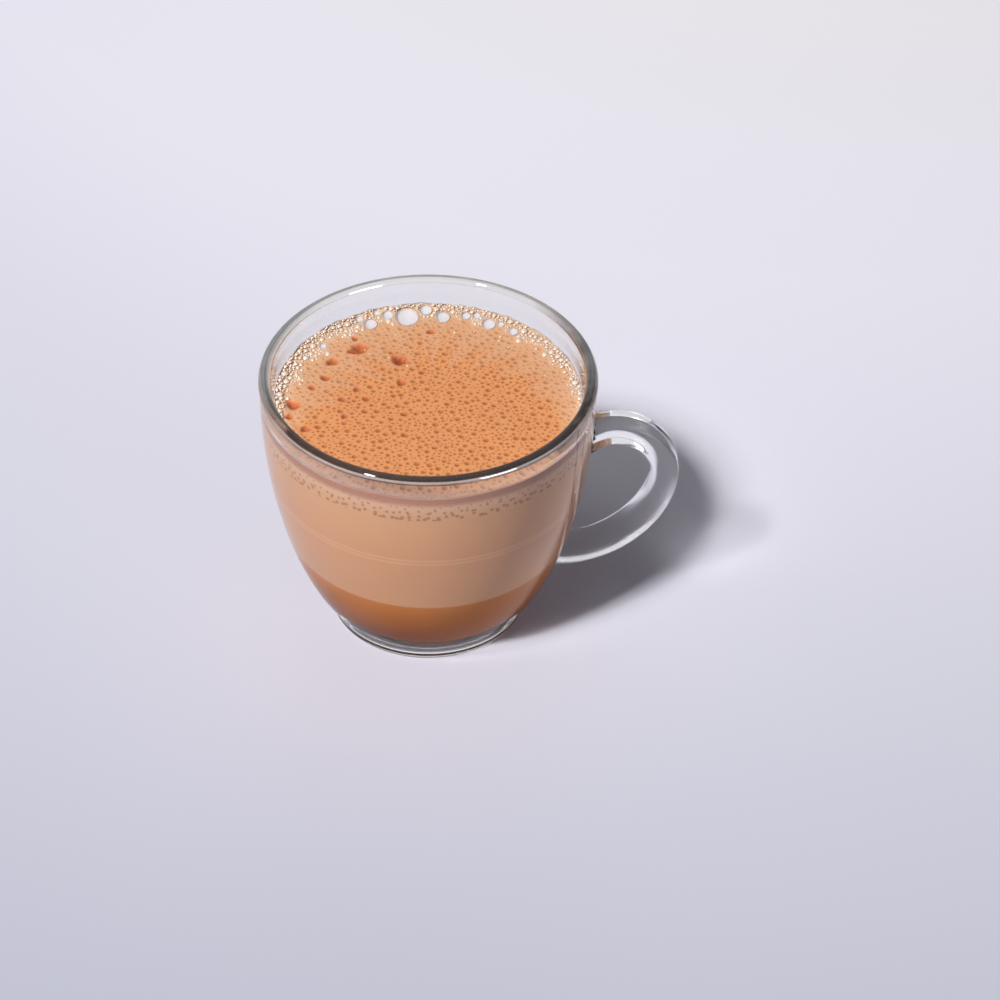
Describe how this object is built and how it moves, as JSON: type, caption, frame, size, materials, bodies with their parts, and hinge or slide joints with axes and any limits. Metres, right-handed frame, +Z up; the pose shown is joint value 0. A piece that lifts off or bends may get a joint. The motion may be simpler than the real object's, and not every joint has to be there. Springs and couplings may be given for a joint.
{
  "type": "glass cup of masala chai",
  "caption": "Clear glass tea cup with a loop handle, filled near the rim with milky spiced tea under a layer of fine froth.",
  "frame": {"origin": "centre of the flat underside of the cup's foot", "axes": "+Z up along the cup's axis, +X from the axis towards the handle"},
  "size_m": [0.1049, 0.084, 0.0734],
  "materials": {
    "clear_glass": "clear polished pressed glass",
    "milk_tea": "opaque pinkish brown milk tea behind glass",
    "milk_froth": "moist orange-tan froth full of fine bubbles"
  },
  "bodies": {
    "root": {"glass_cup": "clear_glass", "chai": "milk_tea", "froth": "milk_froth"}
  },
  "joints": []
}
